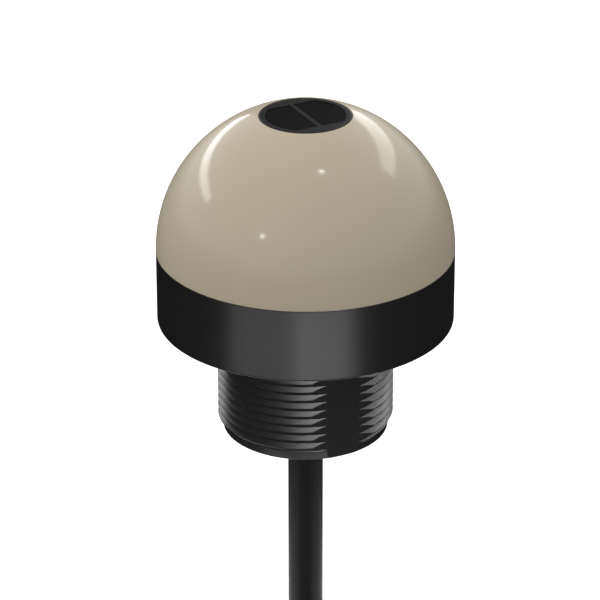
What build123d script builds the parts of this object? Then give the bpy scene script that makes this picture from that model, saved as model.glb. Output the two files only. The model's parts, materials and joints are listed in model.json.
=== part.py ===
from build123d import *
import math
import os

os.makedirs("parts", exist_ok=True)

# Panel-mounted optical touch sensor: a tan dome on a black collar, with a threaded stem and a cable.
# The frame is +Z up. The origin is on the axis, where the collar's underside meets the panel.
# All lengths are in millimetres and all angles in degrees.

# Clearances
fit_gap = 0.05
slide_gap = 0.1

# Outer form
body_r = 25.0
collar_h = 12.6
collar_edge = 0.3
thread_r = 14.93
thread_depth = 0.88
thread_len = 18.8
stem_len = 20.25
stem_edge = 0.3
flat_distance = 13.75
flat_azimuth = -63.0

# Walls of the housing
collar_floor = 3.0
rim_wall = 2.0
seal_seat_h = 8.8
chamber_wall = 3.6
stem_wall = 3.43
end_wall = 3.0
gland_r = 4.6

# Dome
dome_wall = 2.5
spigot_wall = 1.6
boss_r = 10.3
boss_drop = 0.3

# Window in the dome's top
window_r = 7.7
flange_t = 1.5
flange_edge = 0.15
barrel_r = 6.8
pane_arc_r = 6.6
pane_end = 5.0
bar_w = 1.1
pane_t = 1.0
pane_recess = 0.15
pane_ledge = 0.45
lens_t = 0.9
lens_bulge_r = 2.2
lens_bulge_h = 0.9
optic_offset = 3.4

# Rings
seal_t = 1.0
gasket_t = 0.5

# Boards
lamp_board_z = 9.4
board_t = 1.6
board_edge_gap = 0.5
screw_inset = 2.2
screw_count = 3
screw_azimuth = 90.0
screw_r = 1.0
screw_head_r = 1.9
screw_head_h = 1.3
screw_slot_w = 0.5
screw_reach = 5.0
boss_wall = 1.5
lamp_side = 3.4
lamp_h = 1.5
lamp_lid = 0.4
lamp_inset = 4.3
lamp_count = 6
sensor_board_t = 1.0
link_w = 6.0
link_t = 0.5

# Optical parts on the sensor board
led_flange_r = 1.9
led_flange_h = 0.7
led_r = 1.5
led_h = 2.2
diode_w = 4.2
diode_depth = 3.2
diode_h = 1.4
diode_lens_r = 1.2
bulge_share = 0.7

# Optics tower
tower_r = 10.0
tower_wall = 1.2
tower_shelf = 1.4
tower_flange_r = 12.0
tower_flange_t = 1.2
barrel_len = 5.8
peg_r = 0.9
peg_circle_r = 10.6
peg_count = 3
peg_azimuth = 30.0

# Control board, upright in the stem
control_w = 20.0
header_h = 2.4
board_foot_gap = 2.75
rail_grip = 1.0
rail_w = 3.8
potting_h = 4.5

# Pin row between the two boards
pin_count = 6
pin_pitch = 2.54
pin_w = 0.6
pin_reach = 3.0
header_back = 1.25

# Components on the control board, as width, height and depth, with their places from its edges
chip_size = (7.0, 7.0, 1.4)
chip_drop = 6.6
chip_leads = 8
chip_pitch = 0.8
chip_lead_reach = 0.8
regulator_size = (6.5, 3.5, 1.6)
regulator_rise = 5.1
regulator_tab = (3.0, 0.75, 0.4)
regulator_leads = (-2.3, 0, 2.3)
regulator_lead = (0.8, 1.4, 0.4)
transistor_size = (2.9, 1.4, 1.1)
transistor_x = 6.2
transistor_rise = 8.5
transistor_legs = ((-0.95, -1.1), (0.95, -1.1), (0, 1.1))
transistor_leg = (0.4, 0.8, 0.3)
can_r = 3.1
can_len = 5.4
can_base_h = 1.2
can_margin = 0.2
can_drop = 9.5
clamp_size = (2.6, 4.3, 2.2)
clamp_tab = (1.4, 5.4, 0.4)
clamp_x = -6.6
clamp_drop = 10.0

# Ends of the conductors at the control board
core_r = 0.48
core_count = 5
core_step = 1.0
core_spread = 2.3
core_start_y = 1.9
core_start_gap = 0.2
core_rise = 5.5

# Cable
cable_r = 3.0
grommet_flange_r = 5.7
grommet_flange_t = 1.0
grommet_tip_r = 3.8
grommet_tip_len = 3.2
cable_route = [
    (0, 0, -15),
    (0, 0, -62),
    (7.2, -9.6, -82.8),
    (19.5, -26.3, -94.8),
    (33.9, -45.6, -94.8),
]

# Coil of the cable's put-away length
turn_pitch = 6.2
coil_columns = 3
coil_layers = 3
coil_mid_r = 36.0
landing_z = -94.8
landing_heading = -53.3
tail_start = -32.0
tail_end = -83.0
tail_lift = 0.1
pocket_rise = 4.0
tie_azimuths = (110.0, 195.0)
tie_t = 0.8
tie_gap = 0.15
tie_w = 4.0
tie_head = (3.0, 6.0, 5.0)

# Flying leads at the cable's far end
lead_r = 0.65
lead_ring_r = 1.6
lead_start = 0.25
lead_drop_len = 11.0
lead_flat_len = 20.0
lead_fan = 2.9
lead_splay = 1.2
lead_shift_in = 2.9
lead_turn_in = 12.0
lead_bend_r = 3.0
tip_r = 0.4
tip_len = 6.0
lead_names = ["lead_black", "lead_white", "lead_brown", "lead_blue", "lead_grey"]
lead_count = len(lead_names)
lead_first = 90.0

# Sizes that follow from the ones above
land_r = thread_r - thread_depth
stem_bore_r = thread_r - stem_wall
stem_floor = -stem_len + end_wall
rim_bore_r = body_r - rim_wall
chamber_r = body_r - chamber_wall
spigot_out = rim_bore_r - slide_gap
spigot_in = spigot_out - spigot_wall
spigot_z = seal_seat_h + seal_t
dome_in_r = body_r - dome_wall
cup_r = window_r + fit_gap
window_z = collar_h + math.sqrt(body_r**2 - cup_r**2)
flange_z = window_z - flange_t
cup_floor = flange_z - gasket_t
barrel_hole_r = barrel_r + slide_gap
boss_z = collar_h + math.sqrt(dome_in_r**2 - boss_r**2) - boss_drop
barrel_z = flange_z - barrel_len
pane_top = window_z - pane_recess
pane_z = pane_top - pane_t
lens_z = pane_z - lens_t
sensor_board_z = barrel_z - sensor_board_t
lamp_board_r = spigot_in - board_edge_gap
lamp_board_top = lamp_board_z + board_t
screw_circle_r = lamp_board_r - screw_inset
lamp_circle_r = lamp_board_r - lamp_inset
control_top = lamp_board_z - header_h
control_bottom = stem_floor + board_foot_gap
potting_top = stem_floor + potting_h
coil_out_r = coil_mid_r + coil_columns * turn_pitch / 2
coil_in_r = coil_mid_r - coil_columns * turn_pitch / 2
coil_bottom = landing_z - turn_pitch / 2
coil_top = coil_bottom + coil_layers * turn_pitch
window_frame = Rot(0, 0, flat_azimuth)


def dome_height(radius, sphere_r):
    """Height of a sphere about the seam's centre, at a distance from the axis."""
    return collar_h + math.sqrt(sphere_r**2 - radius**2)


def turned(*points):
    """Solid of revolution from a half section of (radius, height) points."""
    outline = Polyline(*[(r, 0, z) for r, z in points], close=True)
    return revolve(make_face(outline.edges()), axis=Axis.Z)


def ring(inner, outer, bottom, top):
    """Plain ring about the axis."""
    return turned((inner, bottom), (outer, bottom), (outer, top), (inner, top))


def post(radius, bottom, top):
    """Upright cylinder between two heights, on the axis."""
    return Pos(0, 0, bottom) * Cylinder(radius, top - bottom, align=(Align.CENTER, Align.CENTER, Align.MIN))


def slab(x0, x1, y0, y1, z0, z1):
    """Box between two corners."""
    return Pos((x0 + x1) / 2, (y0 + y1) / 2, (z0 + z1) / 2) * Box(x1 - x0, y1 - y0, z1 - z0)


def around(count, radius, start=0.0):
    """Locations evenly spaced on a circle about the axis, turned outwards."""
    return [Rot(0, 0, start + 360 * i / count) * Pos(radius, 0, 0) for i in range(count)]


def cap(radius, height):
    """Shallow spherical cap that stands on the XY plane."""
    sphere_r = (radius**2 + height**2) / (2 * height)
    return Pos(0, 0, height - sphere_r) * Sphere(sphere_r) & post(radius + sphere_r, 0, height)


def pane_shape(inset):
    """One D-shaped opening of the window, drawn smaller by the inset."""
    near = bar_w / 2 + inset
    far = pane_arc_r - inset
    strip = Rectangle(2 * (pane_end - inset), far - near)
    return Circle(far) & Pos(0, (near + far) / 2) * strip


def pane_prism(inset, bottom, top, side):
    """A D-shaped prism on one side of the window's bar."""
    shape = window_frame * Rot(0, 0, side) * Pos(0, 0, bottom) * pane_shape(inset)
    return extrude(shape, top - bottom)


def optic_place(side, height):
    """Centre of the emitter or the receiver at a height."""
    return window_frame * Rot(0, 0, side) * Pos(0, optic_offset, height)


# Sides of the window's bar, and faces of the control board
emitter_side = 0
receiver_side = 180
front = 1
back = -1


def base_housing():
    """Collar and threaded stem, moulded in one piece."""
    with BuildPart() as body:
        with BuildSketch(Plane.XZ) as section:
            with BuildLine():
                Polyline(
                    (stem_bore_r, collar_floor),
                    (chamber_r, collar_floor),
                    (chamber_r, seal_seat_h),
                    (rim_bore_r, seal_seat_h),
                    (rim_bore_r, collar_h),
                    (body_r, collar_h),
                    (body_r, 0),
                    (thread_r, 0),
                    (thread_r, -thread_len + thread_depth),
                    (land_r, -thread_len),
                    (land_r, -stem_len + stem_edge),
                    (land_r - stem_edge, -stem_len),
                    (gland_r, -stem_len),
                    (gland_r, stem_floor),
                    (stem_bore_r, stem_floor),
                    close=True,
                )
            make_face()
            fillet(section.vertices().sort_by_distance((body_r, 0))[0], collar_edge)
        revolve(axis=Axis.Z)
    housing = body.part
    boss_outer = screw_r + boss_wall
    for place in around(screw_count, screw_circle_r, screw_azimuth):
        housing += place * post(boss_outer, collar_floor - fit_gap, lamp_board_z)
    for side in (-1, 1):
        rail = slab(control_w / 2 - rail_grip, stem_bore_r + stem_wall / 3, -rail_w / 2, rail_w / 2,
                    stem_floor - fit_gap, collar_floor)
        slot = slab(0, control_w / 2 + fit_gap, -board_t / 2 - fit_gap, board_t / 2 + fit_gap,
                    control_bottom, collar_floor)
        housing += Rot(0, 0, 90 - 90 * side) * rail
        housing -= Rot(0, 0, 90 - 90 * side) * slot
    for place in around(screw_count, screw_circle_r, screw_azimuth):
        housing -= place * post(screw_r, lamp_board_z - screw_reach, lamp_board_z)
    cutter = slab(flat_distance, body_r, -body_r, body_r, -stem_len, 0)
    return housing - window_frame * cutter


def dome():
    """Hemispherical cap with a spigot for the collar and a seat for the window."""
    lip = dome_height(cup_r, body_r)
    inner_low = dome_height(spigot_in, dome_in_r)
    inner_high = dome_height(boss_r, dome_in_r)
    mid_out = body_r * math.sqrt(0.5)
    mid_in = dome_in_r * math.sqrt(0.5)
    with BuildPart() as shell:
        with BuildSketch(Plane.XZ):
            with BuildLine():
                ThreePointArc((body_r, collar_h), (mid_out, collar_h + mid_out), (cup_r, lip))
                Polyline((cup_r, lip), (cup_r, cup_floor), (barrel_hole_r, cup_floor),
                         (barrel_hole_r, boss_z), (boss_r, boss_z), (boss_r, inner_high))
                ThreePointArc((boss_r, inner_high), (mid_in, collar_h + mid_in), (spigot_in, inner_low))
                Polyline((spigot_in, inner_low), (spigot_in, spigot_z), (spigot_out, spigot_z),
                         (spigot_out, collar_h), (body_r, collar_h))
            make_face()
        revolve(axis=Axis.Z)
    return shell.part


def window_bezel():
    """Round optics holder: a flange, a barrel and two D-shaped channels beside a bar."""
    body = turned(
        (0, barrel_z),
        (barrel_r, barrel_z),
        (barrel_r, flange_z),
        (window_r, flange_z),
        (window_r, window_z - flange_edge),
        (window_r - flange_edge, window_z),
        (0, window_z),
    )
    for side in (emitter_side, receiver_side):
        body -= pane_prism(0, pane_z, window_z, side)
        body -= pane_prism(pane_ledge, barrel_z, pane_z, side)
    return body


def window_pane(side):
    """Dark pane that sits in its pocket in the bezel."""
    return pane_prism(fit_gap, pane_z, pane_top, side)


def window_lens(side):
    """Flat lens plate with a round bulge towards the board."""
    plate = pane_prism(pane_ledge + fit_gap, lens_z, pane_z, side)
    bulge = optic_place(side, lens_z) * Rot(180, 0, 0) * cap(lens_bulge_r, lens_bulge_h)
    return plate + bulge


def emitter_led():
    """Round lamp with a flange and a domed end."""
    body = post(led_flange_r, 0, led_flange_h) + post(led_r, led_flange_h, led_h)
    body += Pos(0, 0, led_h) * cap(led_r, led_r * bulge_share)
    return optic_place(emitter_side, barrel_z) * body


def receiver_photodiode():
    """Flat square package with a small round lens."""
    body = slab(-diode_w / 2, diode_w / 2, -diode_depth / 2, diode_depth / 2, 0, diode_h)
    body += Pos(0, 0, diode_h) * cap(diode_lens_r, diode_lens_r * bulge_share)
    return optic_place(receiver_side, barrel_z) * body


def optics_tower():
    """Tube between the lamp board and the dome, with a shelf for the sensor board."""
    body = turned(
        (tower_r - tower_wall - tower_shelf, lamp_board_top),
        (tower_flange_r, lamp_board_top),
        (tower_flange_r, lamp_board_top + tower_flange_t),
        (tower_r, lamp_board_top + tower_flange_t),
        (tower_r, boss_z),
        (tower_r - tower_wall, boss_z),
        (tower_r - tower_wall, sensor_board_z),
        (tower_r - tower_wall - tower_shelf, sensor_board_z),
    )
    for place in around(peg_count, peg_circle_r, peg_azimuth):
        body += place * post(peg_r, lamp_board_z, lamp_board_top + fit_gap)
    return body


def led_board():
    """Round board with holes for the screws and for the tower's pegs."""
    board = post(lamp_board_r, lamp_board_z, lamp_board_top)
    for place in around(screw_count, screw_circle_r, screw_azimuth):
        board -= place * post(screw_r + slide_gap, lamp_board_z, lamp_board_top)
    for place in around(peg_count, peg_circle_r, peg_azimuth):
        board -= place * post(peg_r + fit_gap, lamp_board_z, lamp_board_top)
    return board


def indicator_leds():
    """Square lamps in a ring on the lamp board."""
    half = lamp_side / 2
    inner = half - lamp_lid
    lamps = []
    for place in around(lamp_count, lamp_circle_r):
        lower = slab(-half, half, -half, half, 0, lamp_h)
        upper = slab(-inner, inner, -inner, inner, lamp_h, lamp_h + lamp_lid)
        lamps.append(Pos(0, 0, lamp_board_top) * place * (lower + upper))
    return lamps


def board_screws():
    """Pan-head screws through the lamp board into the housing's bosses."""
    screws = []
    for place in around(screw_count, screw_circle_r, screw_azimuth):
        shank = post(screw_r - fit_gap, lamp_board_z - screw_reach + slide_gap, lamp_board_top)
        head = post(screw_head_r, lamp_board_top, lamp_board_top + screw_head_h)
        slot = slab(-screw_head_r, screw_head_r, -screw_slot_w / 2, screw_slot_w / 2,
                    lamp_board_top + screw_head_h / 2, lamp_board_top + screw_head_h)
        screws.append(place * (shank + head - slot - Rot(0, 0, 90) * slot))
    return screws


def control_board():
    """Board that stands in the stem, held at its edges by two rails."""
    return slab(-control_w / 2, control_w / 2, -board_t / 2, board_t / 2, control_bottom, control_top)


def control_header():
    """Pin row that joins the lamp board and the control board."""
    half = pin_count * pin_pitch / 2
    front = board_t / 2 + pin_w
    body = slab(-half, half, -header_back, front, control_top, lamp_board_z)
    for i in range(pin_count):
        x = (i - (pin_count - 1) / 2) * pin_pitch
        body += slab(x - pin_w / 2, x + pin_w / 2, board_t / 2, front, control_top - pin_reach, control_top)
    return body


def on_board(face, x, z, size):
    """Box-shaped component on one face of the control board."""
    width, height, depth = size
    y0, y1 = sorted((face * board_t / 2, face * (board_t / 2 + depth)))
    return slab(x - width / 2, x + width / 2, y0, y1, z - height / 2, z + height / 2)


def microcontroller():
    """Square package with a row of leads on two sides."""
    z = control_top - chip_drop
    lead = (chip_pitch / 2, chip_size[1] + 2 * chip_lead_reach, chip_size[2] / 4)
    body = on_board(back, 0, z, chip_size)
    for i in range(chip_leads):
        body += on_board(back, (i - (chip_leads - 1) / 2) * chip_pitch, z, lead)
    return body


def voltage_regulator():
    """Power package with a tab and three leads."""
    z = control_bottom + regulator_rise
    body = on_board(back, 0, z, regulator_size)
    body += on_board(back, 0, z - (regulator_size[1] + regulator_tab[1]) / 2, regulator_tab)
    for x in regulator_leads:
        body += on_board(back, x, z + (regulator_size[1] + regulator_lead[1]) / 2, regulator_lead)
    return body


def output_transistors():
    """Two small three-leg packages."""
    z = control_bottom + transistor_rise
    packages = []
    for x in (-transistor_x, transistor_x):
        body = on_board(back, x, z, transistor_size)
        for shift, rise in transistor_legs:
            body += on_board(back, x + shift, z + rise, transistor_leg)
        packages.append(body)
    return packages


def smoothing_capacitor():
    """Round can on a square base."""
    z = control_top - can_drop
    base_side = 2 * (can_r + can_margin)
    base = on_board(front, 0, z, (base_side, base_side, can_base_h))
    return base + Pos(0, board_t / 2 + can_base_h, z) * Rot(-90, 0, 0) * post(can_r, 0, can_len - can_base_h)


def protection_diode():
    """Flat power package with two tabs."""
    z = control_top - clamp_drop
    return on_board(front, clamp_x, z, clamp_size) + on_board(front, clamp_x, z, clamp_tab)


def board_wires():
    """Ends of the five conductors, from the cable's end to the control board."""
    wires = []
    for i in range(core_count):
        step = i - (core_count - 1) / 2
        low = Vector(step * core_step, core_start_y, cable_route[0][2] + core_start_gap)
        high = Vector(step * core_spread, board_t / 2 + core_r + fit_gap, control_bottom + core_rise)
        wires.append(Plane(low, z_dir=high - low) * post(core_r, 0, (high - low).length))
    return wires


def potting(cable_body, wires):
    """Resin in the foot of the stem, round the cable's end, the board's edge and the rails."""
    fill = post(stem_bore_r, stem_floor, potting_top)
    for side in (0, 180):
        fill -= Rot(0, 0, side) * slab(control_w / 2 - rail_grip, stem_bore_r + 1, -rail_w / 2, rail_w / 2,
                                       stem_floor, potting_top)
    fill -= control_board()
    fill -= post(cable_r + fit_gap, stem_floor, cable_route[0][2])
    fill -= ring(0, grommet_flange_r, stem_floor, stem_floor + grommet_flange_t)
    for wire in wires:
        fill -= wire
    return fill


def cable_grommet():
    """Strain relief that grips the end wall and tapers onto the cable."""
    bore = cable_r + fit_gap
    neck = gland_r - fit_gap
    return turned(
        (bore, stem_floor + grommet_flange_t),
        (grommet_flange_r, stem_floor + grommet_flange_t),
        (grommet_flange_r, stem_floor),
        (neck, stem_floor),
        (neck, -stem_len),
        (grommet_flange_r, -stem_len),
        (grommet_flange_r, -stem_len - grommet_flange_t),
        (grommet_tip_r, -stem_len - grommet_flange_t - grommet_tip_len),
        (bore, -stem_len - grommet_flange_t - grommet_tip_len),
    )


def bend_radii(points):
    """Radius of the arc at each inner point: 0.45 of the shorter run over the tangent of half the turn."""
    radii = []
    for before, here, after in zip(points, points[1:], points[2:]):
        run_in = Vector(*here) - Vector(*before)
        run_out = Vector(*after) - Vector(*here)
        half_turn = math.radians(run_in.get_angle(run_out)) / 2
        radii.append(0.45 * min(run_in.length, run_out.length) / math.tan(half_turn))
    return radii


def flexed(name, points, radius, radii):
    """Round tube along straight runs joined by tangent arcs."""
    path = FilletPolyline(*points, radius=radii)
    body = sweep(Plane(path @ 0, z_dir=path % 0) * Circle(radius), path=path)
    expected = math.pi * radius**2 * path.length
    print(name, "radii", [round(r, 1) for r in radii], "length", round(path.length, 1),
          "volume share", round(body.volume / expected, 5))
    return body


heading = Vector(1, 0, 0).rotate(Axis.Z, landing_heading)
landing = Vector(*cable_route[-1])
coil_centre = landing + heading.rotate(Axis.Z, -90) * (coil_out_r - turn_pitch / 2)
coil_frame = Pos(coil_centre.X, coil_centre.Y, 0)


def cable_coil():
    """Outer shape of the wound turns, with a pocket where the cable runs in beside them."""
    corner = turn_pitch / 4
    body = turned(
        (coil_in_r + corner, coil_bottom),
        (coil_out_r - corner, coil_bottom),
        (coil_out_r, coil_bottom + corner),
        (coil_out_r, coil_top - corner),
        (coil_out_r - corner, coil_top),
        (coil_in_r + corner, coil_top),
        (coil_in_r, coil_top - corner),
        (coil_in_r, coil_bottom + corner),
    )
    pocket = slab(-coil_out_r, 0, -turn_pitch / 2, turn_pitch, coil_bottom - fit_gap, landing_z + pocket_rise)
    return coil_frame * body - Pos(landing.X, landing.Y, 0) * Rot(0, 0, landing_heading) * pocket


def coil_point(azimuth, radius, height):
    """Point at an azimuth and a radius about the coil's centre."""
    turn = math.radians(azimuth)
    return (coil_centre.X + radius * math.cos(turn), coil_centre.Y + radius * math.sin(turn), height)


tail_from = Vector(*coil_point(tail_start, coil_mid_r, coil_top + cable_r + tail_lift))
tail_to = Vector(*coil_point(tail_end, coil_mid_r, coil_top + cable_r + tail_lift))


def cable_tail():
    """Last stretch of the cable, which lies straight across the top of the coil."""
    along = tail_to - tail_from
    return Plane(tail_from, z_dir=along) * post(cable_r, 0, along.length)


def lead_route(index):
    """Points of one flying lead: from the tail's end down onto the coil, then flat and fanned out."""
    ahead = (tail_to - tail_from).normalized()
    outward = ahead.rotate(Axis.Z, 90)
    clocks = [math.radians(lead_first + 360 * i / lead_count) for i in range(lead_count)]
    side, lift = lead_ring_r * math.cos(clocks[index]), lead_ring_r * math.sin(clocks[index])
    ranks = sorted(range(lead_count), key=lambda i: math.cos(clocks[i]))
    fan = (ranks.index(index) - (lead_count - 1) / 2) * lead_fan
    rest_z = coil_top + lead_r + fit_gap
    start = tail_to + ahead * lead_start + outward * side + Vector(0, 0, lift)
    down = tail_to + ahead * lead_drop_len + outward * (fan - lead_shift_in)
    end = down + ahead * lead_flat_len + outward * (fan * (lead_splay - 1) - lead_turn_in)
    return [tuple(start), (down.X, down.Y, rest_z), (end.X, end.Y, rest_z)]


def lead_tip(points):
    """Bare tinned end of one lead."""
    end = Vector(*points[-1])
    ahead = (end - Vector(*points[-2])).normalized()
    return Plane(end, z_dir=ahead) * post(tip_r, 0, tip_len)


def coil_ties():
    """Two flat ties round the wound turns, each with its square head."""
    ties = []
    depth, width, height = tie_head
    for azimuth in tie_azimuths:
        inner = slab(coil_in_r - tie_gap, coil_out_r + fit_gap, -tie_w, tie_w,
                     coil_bottom - fit_gap, coil_top + fit_gap)
        outer = slab(coil_in_r - tie_t, coil_out_r + tie_t, -tie_w / 2, tie_w / 2,
                     coil_bottom - tie_t, coil_top + tie_t)
        head = slab(coil_out_r + tie_t, coil_out_r + tie_t + depth, -width / 2, width / 2,
                    coil_top - 2 * height, coil_top - height)
        ties.append(coil_frame * Rot(0, 0, azimuth) * (outer - inner + head))
    return ties


def save(name, body):
    """Write one node; a list becomes one node of separate solids."""
    shape = Compound(children=[s for b in body for s in b.solids()]) if isinstance(body, list) else body
    export_step(shape, "parts/" + name + ".step")


cable = flexed("cable", cable_route, cable_r, bend_radii(cable_route))
wires = board_wires()
lead_routes = [lead_route(i) for i in range(lead_count)]

save("base_housing", base_housing())
save("dome", dome())
save("dome_seal", ring(chamber_r + slide_gap, spigot_out, seal_seat_h, spigot_z))
save("window_bezel", window_bezel())
save("window_gasket", ring(barrel_hole_r + slide_gap, window_r, cup_floor, flange_z))
save("emitter_window", window_pane(emitter_side))
save("receiver_window", window_pane(receiver_side))
save("emitter_lens", window_lens(emitter_side))
save("receiver_lens", window_lens(receiver_side))
save("emitter_led", emitter_led())
save("receiver_photodiode", receiver_photodiode())
save("sensor_board", post(tower_r - tower_wall - slide_gap, sensor_board_z, barrel_z))
save("sensor_link", slab(-link_w / 2, link_w / 2, -link_t / 2, link_t / 2, lamp_board_top, sensor_board_z))
save("optics_tower", optics_tower())
save("led_board", led_board())
save("indicator_leds", indicator_leds())
save("board_screws", board_screws())
save("control_board", control_board())
save("control_header", control_header())
save("microcontroller", microcontroller())
save("voltage_regulator", voltage_regulator())
save("output_transistors", output_transistors())
save("smoothing_capacitor", smoothing_capacitor())
save("protection_diode", protection_diode())
save("board_wires", wires)
save("potting", potting(cable, wires))
save("cable_grommet", cable_grommet())
save("cable", cable)
save("cable_coil", cable_coil())
save("cable_tail", cable_tail())
save("coil_ties", coil_ties())
for name, route in zip(lead_names, lead_routes):
    save(name, flexed(name, route, lead_r, [lead_bend_r]))
save("lead_tips", [lead_tip(route) for route in lead_routes])
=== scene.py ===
"""Looks of an optical touch sensor: a tan dome on a black collar, a threaded stem and a long cable.

Everything is in metres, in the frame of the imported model. The origin lies on the axis, in the plane
of the collar's underside, and +Z points out of the panel.
"""

import json
import logging
from dataclasses import dataclass
from enum import Enum
from math import acos, atan2, ceil, cos, pi, radians, sin, sqrt

import bmesh
import bpy
from bmesh.types import BMesh, BMVert
from bpy.types import Material, Node, NodeTree, Object
from mathutils import Matrix, Vector


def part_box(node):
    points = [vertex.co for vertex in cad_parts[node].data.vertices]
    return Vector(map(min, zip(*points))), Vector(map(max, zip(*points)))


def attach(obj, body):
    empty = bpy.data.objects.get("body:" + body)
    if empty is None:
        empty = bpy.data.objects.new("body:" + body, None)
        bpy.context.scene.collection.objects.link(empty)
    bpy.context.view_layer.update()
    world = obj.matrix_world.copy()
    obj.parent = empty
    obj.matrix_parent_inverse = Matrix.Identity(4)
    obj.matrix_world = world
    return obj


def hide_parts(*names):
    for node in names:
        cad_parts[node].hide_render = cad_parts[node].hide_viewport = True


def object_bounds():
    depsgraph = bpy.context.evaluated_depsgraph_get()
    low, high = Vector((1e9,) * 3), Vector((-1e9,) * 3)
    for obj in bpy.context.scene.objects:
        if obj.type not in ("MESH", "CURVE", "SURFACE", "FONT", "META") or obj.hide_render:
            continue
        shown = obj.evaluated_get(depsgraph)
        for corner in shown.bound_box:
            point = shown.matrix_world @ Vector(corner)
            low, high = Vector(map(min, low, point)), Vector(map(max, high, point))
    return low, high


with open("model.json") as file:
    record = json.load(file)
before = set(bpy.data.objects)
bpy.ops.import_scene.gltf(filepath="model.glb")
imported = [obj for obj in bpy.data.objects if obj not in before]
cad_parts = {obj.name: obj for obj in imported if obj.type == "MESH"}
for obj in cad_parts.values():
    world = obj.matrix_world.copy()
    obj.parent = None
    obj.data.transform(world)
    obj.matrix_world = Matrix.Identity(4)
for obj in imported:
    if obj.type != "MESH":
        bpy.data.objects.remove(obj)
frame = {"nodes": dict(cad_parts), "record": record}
cad_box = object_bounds()

LOG = logging.getLogger("touch_sensor")
MM = 0.001
FULL_TURN = 2 * pi
Pair = tuple[float, float]
Point = tuple[float, float, float]
Profile = list[Pair]
Colour = tuple[float, float, float, float]
Display = tuple[int, int, int]

# Vertices nearer than WELD are one, and a cutter reaches PAST what it cuts
WELD = 1e-7
PAST = 1.0 * MM


class Body(Enum):
    """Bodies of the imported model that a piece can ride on."""

    ROOT = "root"


class Cut(Enum):
    """How one closed mesh changes another."""

    ADD = "UNION"
    REMOVE = "DIFFERENCE"


class Socket(Enum):
    """What a socket of a shared node group carries."""

    COLOUR = "NodeSocketColor"
    VALUE = "NodeSocketFloat"


def around(azimuth: float) -> Matrix:
    """Turn about the axis by an azimuth in degrees."""
    return Matrix.Rotation(radians(azimuth), 4, "Z")


def srgb(display: Display) -> Colour:
    """Linear colour, as a shader takes it, from display values.

    Args:
        display: Red, green and blue, each from 0 to 255.

    Returns:
        The colour, with an alpha of 1.
    """
    shares = [value / 255 for value in display]
    return (*[s / 12.92 if s <= 0.04045 else ((s + 0.055) / 1.055) ** 2.4 for s in shares], 1.0)


# Nodes and shared shader effects

WHITE = (1.0, 1.0, 1.0, 1.0)
CLOUD_DETAIL = 3.0
GRAIN_DETAIL = 2.0
SLOW_SCALE = 60.0

# Numbers of the mix node's colour sockets, which share their names with others
MIX_A = 6
MIX_B = 7
MIX_RESULT = 2


def set_inputs(node: Node, values: dict[str | int, object]) -> None:
    """Put constants straight onto a node's sockets."""
    for socket, value in values.items():
        node.inputs[socket].default_value = value


def add_node(tree: NodeTree, kind: str, values: dict[str | int, object] | None = None,
             **settings: object) -> Node:
    """Add a node to a tree.

    Args:
        tree: The tree.
        kind: Type of the node, without its prefix.
        values: Constants, by socket.
        settings: Its other settings.

    Returns:
        The new node.
    """
    made = tree.nodes.new(f"ShaderNode{kind}")
    for setting, value in settings.items():
        setattr(made, setting, value)
    set_inputs(made, values or {})
    return made


def find_node(tree: NodeTree, kind: str) -> Node:
    """First node of a type in a tree."""
    return next(node for node in tree.nodes if node.type == kind)


def join(tree: NodeTree, *links: tuple[Node, str | int, Node, str | int]) -> None:
    """Link sockets; each row is a node, its output, the next node and its input."""
    for source, output, target, entry in links:
        tree.links.new(source.outputs[output], target.inputs[entry])


def shaded(name: str, values: dict[str | int, object]) -> tuple[Material, Node]:
    """New material with constants on its shader's sockets.

    Args:
        name: Name of the material.
        values: The constants, by socket.

    Returns:
        The material and its shader.
    """
    material = bpy.data.materials.new(name)
    material.use_nodes = True
    shader = find_node(material.node_tree, "BSDF_PRINCIPLED")
    set_inputs(shader, values)
    return material, shader


def clear_where(tree: NodeTree, shader: Node, mask: Node, output: str) -> None:
    """Make a material clear where a mask is 1.

    Args:
        tree: Tree of the material.
        shader: Its shader.
        mask: Node that gives the mask.
        output: The mask's output.
    """
    clear = add_node(tree, "BsdfTransparent")
    mixed = add_node(tree, "MixShader")
    join(tree, (mask, output, mixed, "Fac"), (shader, "BSDF", mixed, 1), (clear, "BSDF", mixed, 2),
         (mixed, "Shader", find_node(tree, "OUTPUT_MATERIAL"), "Surface"))


def effect(name: str, inputs: dict[str, Socket],
           outputs: dict[str, Socket]) -> tuple[NodeTree, Node, Node]:
    """New node group with named sockets.

    Args:
        name: Name of the group.
        inputs: What each input carries.
        outputs: What each output carries.

    Returns:
        The node tree, its input node and its output node.
    """
    tree = bpy.data.node_groups.new(name, "ShaderNodeTree")
    for side, sockets in (("INPUT", inputs), ("OUTPUT", outputs)):
        for label, kind in sockets.items():
            tree.interface.new_socket(label, in_out=side, socket_type=kind.value)
    return tree, tree.nodes.new("NodeGroupInput"), tree.nodes.new("NodeGroupOutput")


def colour_drift() -> NodeTree:
    """Group that shifts a colour towards a second tone in soft clouds.

    Returns:
        A tree with Base, Tone, Scale and Amount in, and Color out.
    """
    tree, given, out = effect(
        "colour_drift",
        {"Base": Socket.COLOUR, "Tone": Socket.COLOUR, "Scale": Socket.VALUE, "Amount": Socket.VALUE},
        {"Color": Socket.COLOUR},
    )
    place = add_node(tree, "TexCoord")
    cloud = add_node(tree, "TexNoise", {"Detail": CLOUD_DETAIL})
    share = add_node(tree, "Math", operation="MULTIPLY")
    blend = add_node(tree, "Mix", data_type="RGBA")
    join(tree, (place, "Object", cloud, "Vector"), (given, "Scale", cloud, "Scale"),
         (cloud, "Fac", share, 0), (given, "Amount", share, 1), (share, "Value", blend, "Factor"),
         (given, "Base", blend, MIX_A), (given, "Tone", blend, MIX_B), (blend, MIX_RESULT, out, "Color"))
    return tree


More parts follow.
